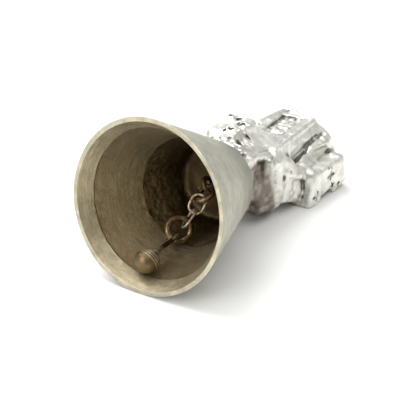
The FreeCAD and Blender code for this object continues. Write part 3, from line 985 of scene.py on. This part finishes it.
def tube(name, path, radius, material, body, seed, worn_at=()):
    """A wire swept along an open path, with slight hammering and rounded ends."""
    ahead, across = carried_across(path)
    centres, radii, across, rise = round_ends(path, ahead, across, radius)
    turn = np.linspace(0, 2 * np.pi, WIRE_SIDES, endpoint=False)
    spokes = across[:, None, :] * np.cos(turn)[None, :, None] + rise[:, None, :] * np.sin(turn)[None, :, None]
    points = centres[:, None, :] + spokes * radii[:, None, None]
    flat = points.reshape(-1, 3)
    dents = 0.05 * lattice_noise(flat, 2.2, seed) + 0.02 * lattice_noise(flat, 0.8, seed + 1)
    points = points + spokes * (dents.reshape(points.shape[:2]) * radius)[:, :, None]
    flat = points.reshape(-1, 3)
    faces = ring_faces(len(centres), WIRE_SIDES)
    last = (len(centres) - 1) * WIRE_SIDES
    faces += [tuple(range(WIRE_SIDES))[::-1], tuple(range(last, last + WIRE_SIDES))]
    piece = add_mesh(name, flat, faces, material, body)
    wear_and_highlight = np.zeros(len(flat))
    for place in worn_at:
        wear_and_highlight += np.exp(-(np.linalg.norm(flat - place, axis=1) / (1.6 * radius)) ** 2)
    set_attribute(piece, "wear_and_highlight", np.clip(wear_and_highlight, 0, 1))
    set_place(piece, flat)
    return piece


def oval_path(near, tip, across, width):
    """Centre line of an oval link from its near end to its tip, open by a hair at one side."""
    along = unit(tip - near)
    across = unit(across - along * (across @ along))
    half = width / 2
    reach = np.linalg.norm(tip - near)
    straight = max(reach - width, 0.2)
    outline = []
    for middle, quarter in ((half, 0.5), (half + straight, -0.5)):
        for t in np.linspace(quarter * np.pi, (quarter + 1) * np.pi, 24):
            outline.append((middle + half * math.cos(t), half * math.sin(t)))
    outline = np.array(outline)
    line = even_path(near + outline[:, :1] * along + outline[:, 1:] * across, LINK_STEP, True)
    seam_side = (line - near) @ across > 0
    seam = int(np.argmin(np.abs((line - near) @ along - reach * 0.45) - 10 * seam_side))
    return np.roll(line, -seam, axis=0)[:-1]


def link_piece(name, node, hinge, tip, play, across, width, wire, material, seed):
    """A bent wire link that hangs round one wire, with some play, and carries the next at its tip."""
    near = hinge - unit(tip - hinge) * play
    line = smooth_path(oval_path(near, tip, across, width), 2)
    piece = tube(name, line, wire, material, node, seed, [near, tip])
    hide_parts(node)


def make_chain(brown, bright):
    """The two rings and the two links between the eye bolt and the clapper."""
    eye, _ = joint("eye_swing")
    ring_tip, ring_across = joint("upper_ring_hinge")
    link_tip, upper_across = joint("upper_link_hinge")
    link_end, lower_across = joint("lower_link_hinge")
    hook, _ = joint("hook_hinge")
    link_piece("upper_ring_wire", "upper_ring", eye, ring_tip,
               EYE_WIRE + RING_WIRE + RING_PLAY, ring_across, UPPER_RING_WIDTH, RING_WIRE, brown, 41)
    link_piece("upper_link_wire", "upper_link", ring_tip, link_tip,
               RING_WIRE + LINK_WIRE + UPPER_PLAY, upper_across, UPPER_LINK_WIDTH, LINK_WIRE, bright, 43)
    link_piece("lower_link_wire", "lower_link", link_tip, link_end,
               2 * LINK_WIRE + LOWER_PLAY, lower_across, LOWER_LINK_WIDTH, LINK_WIRE, bright, 45)
    first = unit(np.cross((0, 1, 0), LOWER_NORMAL))
    turn = np.radians(np.linspace(RING_SEAM, RING_SEAM + 360 - RING_OPENING, 140))
    line = LOWER_CENTRE + LOWER_RING_R * circle(turn, first, np.cross(LOWER_NORMAL, first))
    ring = tube("lower_ring_wire", line, LOWER_WIRE, brown, "lower_ring", 47, [hook, link_end])
    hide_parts("lower_ring")


def make_rod(metal):
    """The bent rod: a straight stem out of the ball and an open hook round the lower ring."""
    hook, tangent = joint("hook_hinge")
    neck = BALL_CENTRE + BALL_AXIS * NECK_REACH
    towards = neck - hook
    towards = unit(towards - tangent * (towards @ tangent))
    slant = math.radians(HOOK_SLANT)
    over = np.cross(tangent, towards) * math.cos(slant) - tangent * math.sin(slant)
    curl = np.radians(np.linspace(14, 250, 30))
    arc = hook + (LOWER_WIRE + ROD_R + HOOK_PLAY) * circle(curl, towards, over)
    root = BALL_CENTRE + BALL_AXIS * (BALL_R - 2.5)
    stem = np.linspace(root, neck - BALL_AXIS * 0.6, 14)
    line = smooth_path(even_path(np.vstack([stem, arc]), 0.3), 8)
    rod = tube("clapper_rod_wire", line, ROD_R, metal, "clapper", 51, [arc[8], neck])
    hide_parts("clapper_rod")


def turned_piece(name, profile, material, seed, rough):
    """A piece turned round the ball's axis from (radius, distance along) points."""
    across = unit(np.cross(BALL_AXIS, (0.2, 0.3, 0.9)))
    turn = np.linspace(0, 2 * np.pi, BALL_SIDES, endpoint=False)
    spokes = circle(turn, across, np.cross(BALL_AXIS, across))
    points = BALL_CENTRE + profile[:, None, 1:] * BALL_AXIS + profile[:, None, :1] * spokes[None]
    flat = points.reshape(-1, 3)
    out = flat - BALL_CENTRE
    out /= np.maximum(np.linalg.norm(out, axis=1, keepdims=True), 1e-6)
    dents = rough * lattice_noise(flat, 1.8, seed) + 0.5 * rough * lattice_noise(flat, 0.6, seed + 1)
    flat = flat + out * dents[:, None]
    faces = ring_faces(len(profile), BALL_SIDES)
    piece = add_mesh(name, flat, faces, material, "clapper")
    set_place(piece, flat)
    return piece


def make_ball(metal):
    """The ball, with turned grooves and a painted highlight on the rubbed ridges beside them."""
    degrees = np.linspace(0.5, 179.5, 150)
    ripple = np.zeros_like(degrees)
    ridge_highlight = np.zeros_like(degrees)
    for centre, depth in BALL_GROOVES:
        ripple -= depth * np.exp(-((degrees - centre) / 2.8) ** 2)
        # painted highlight band just past each groove
        ridge_highlight += np.exp(-((degrees - centre - 6.8) / 2.6) ** 2)
    radius = BALL_R - 0.04 + ripple
    angles = np.radians(degrees)
    profile = np.stack([radius * np.sin(angles), radius * np.cos(angles)], 1)
    ball = turned_piece("clapper_ball_turned", profile, metal, 61, 0.05)
    set_attribute(ball, "wear_and_highlight", np.repeat(np.clip(ridge_highlight, 0, 1), BALL_SIDES))
    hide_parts("clapper_ball")


def make_collar(metal):
    """The grey ferrule on the ball, where the rod goes in."""
    corners = [(r, BALL_R - 0.5 + rise, 0) for r, rise in COLLAR_PROFILE]
    profile = even_path(np.array(corners), 0.1)[:, :2]
    collar = turned_piece("clapper_collar_ferrule", profile, metal, 71, 0.06)
    set_attribute(collar, "wear_and_highlight", np.zeros(len(collar.data.vertices)))
    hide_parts("clapper_collar")


def make_fixings(brown, zinc):
    """Eye bolt, and the material of the washer and nut inside the crown."""
    eye, _ = joint("eye_swing")
    lean = unit(eye - EYE_CENTRE)
    plane_up = unit(lean - np.array((0, 1, 0)) * lean[1])
    turn = np.linspace(0, 2 * np.pi, 90, endpoint=False)
    ring = EYE_CENTRE + EYE_R * circle(turn, (0, 1, 0), plane_up)
    loop = np.roll(ring, -2, axis=0)[:-3]       # open by a hair where the shank begins
    eye_piece = tube("eye_bolt_loop", loop, EYE_WIRE, brown, "bell", 81, [eye])
    shank = np.linspace((0, EYE_CENTRE[1] + EYE_R, 0), (0, SHANK_END, 0), 40)
    tube("eye_bolt_shank", shank, EYE_WIRE, brown, "bell", 83)
    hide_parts("eye_bolt")
    for node in ("crown_washer", "lock_nut"):
        carried = frame["nodes"][node]
        carried.data.materials.clear()
        carried.data.materials.append(zinc)
        corners = [to_bell(carried.matrix_world @ vertex.co) for vertex in carried.data.vertices]
        set_place(carried, corners)
        set_attribute(carried, "wear_and_highlight", np.zeros(len(corners)))


# ---- stage
FLOOR_REACH = 3.0
DARK_SIDE = (0.35, -0.90, 0.10)      # the world is darkest this way
AIM = Vector((0, 0, 0.02))


def camera_axes():
    """The camera's right, up and forward directions."""
    azimuth, elevation = math.radians(CAMERA_AZIMUTH), math.radians(CAMERA_ELEVATION)
    right = Vector((math.cos(azimuth), math.sin(azimuth), 0))
    level = Vector((-math.sin(azimuth), math.cos(azimuth), 0))
    ahead = level * math.cos(elevation) - Vector((0, 0, 1)) * math.sin(elevation)
    return right, right.cross(ahead), ahead


def set_stage():
    """A plain pale floor."""
    floor_mesh = bpy.data.meshes.new("floor")
    corners = [(x * FLOOR_REACH, y * FLOOR_REACH, 0) for x, y in ((-1, -1), (1, -1), (1, 1), (-1, 1))]
    floor_mesh.from_pydata(corners, [], [(0, 1, 2, 3)])
    floor = bpy.data.objects.new("floor", floor_mesh)
    bpy.context.scene.collection.objects.link(floor)
    paper = bpy.data.materials.new("pale_paper")
    paper.use_nodes = True
    shader = paper.node_tree.nodes["Principled BSDF"]
    shader.inputs["Base Color"].default_value = (0.93, 0.93, 0.92, 1)
    shader.inputs["Roughness"].default_value = 0.6
    shader.inputs["Specular IOR Level"].default_value = 0.2
    floor_mesh.materials.append(paper)


def softbox(name, place, size, power):
    """A square of light aimed at the bell."""
    data = bpy.data.lights.new(name, "AREA")
    data.shape = "RECTANGLE"
    data.size, data.size_y = size
    data.energy = power
    lamp = bpy.data.objects.new(name, data)
    lamp.location = place
    lamp.rotation_euler = (AIM - Vector(place)).to_track_quat("-Z", "Y").to_euler()
    bpy.context.scene.collection.objects.link(lamp)


def set_light():
    """A pale world, darker in front, and three soft lights."""
    world = bpy.data.worlds.new("studio")
    bpy.context.scene.world = world
    world.use_nodes = True
    nodes, links = world.node_tree.nodes, world.node_tree.links
    background = nodes["Background"]
    background.inputs["Strength"].default_value = 0.62
    direction = nodes.new("ShaderNodeTexCoord")
    facing = nodes.new("ShaderNodeVectorMath")
    facing.operation = "DOT_PRODUCT"
    facing.inputs[1].default_value = DARK_SIDE
    links.new(direction.outputs["Generated"], facing.inputs[0])
    shade = nodes.new("ShaderNodeValToRGB")
    pale, dark = shade.color_ramp.elements
    pale.position, pale.color = 0.30, (1.0, 1.0, 1.0, 1.0)
    dark.position, dark.color = 0.85, (0.16, 0.155, 0.14, 1.0)
    links.new(facing.outputs["Value"], shade.inputs["Fac"])
    links.new(shade.outputs["Color"], background.inputs["Color"])

    softbox("key", (-0.60, 0.12, 0.92), (0.85, 0.85), 9.0)
    softbox("top", (0.1, 0.0, 1.2), (1.4, 1.4), 8.0)
    softbox("fill", (-0.20, -0.95, 0.50), (0.7, 0.6), 6.0)


def set_camera():
    """The camera, placed from the mouth of the bell."""
    right, rise, ahead = camera_axes()
    data = bpy.data.cameras.new("view")
    data.lens = LENS
    data.sensor_width = 36.0
    data.clip_start = 0.01
    camera = bpy.data.objects.new("view", data)
    offset = Vector(MOUTH_FROM_CAMERA) * MOUTH_R * MM
    camera.location = CENTRE - right * offset[0] - rise * offset[1] - ahead * offset[2]
    camera.rotation_euler = Matrix((right, rise, -ahead)).transposed().to_euler()
    bpy.context.scene.collection.objects.link(camera)
    bpy.context.scene.camera = camera


def set_view():
    """Plain colours, without a film look."""
    settings = bpy.context.scene.view_settings
    settings.view_transform = "Standard"
    settings.exposure = 0.0


# ---- build
brown_wire = wire_metal("brown_wire", (0.42, 0.35, 0.24), (0.15, 0.098, 0.050), (0.045, 0.026, 0.012), 0.27)
bright_wire = wire_metal("bright_wire", (0.85, 0.80, 0.70), (0.55, 0.49, 0.38), (0.24, 0.17, 0.09), 0.24)
collar_metal = wire_metal("collar_steel", (0.46, 0.45, 0.38), (0.34, 0.33, 0.27), (0.18, 0.16, 0.12), 0.40)
zinc_metal = wire_metal("fixing_steel", (0.28, 0.26, 0.22), (0.18, 0.16, 0.13), (0.08, 0.062, 0.04), 0.45)
make_shell(shell_metal())
make_handle(handle_metal())
make_chain(brown_wire, bright_wire)
make_rod(brown_wire)
make_ball(ball_metal())
make_collar(collar_metal)
make_fixings(brown_wire, zinc_metal)
set_stage()
set_light()
set_camera()
set_view()
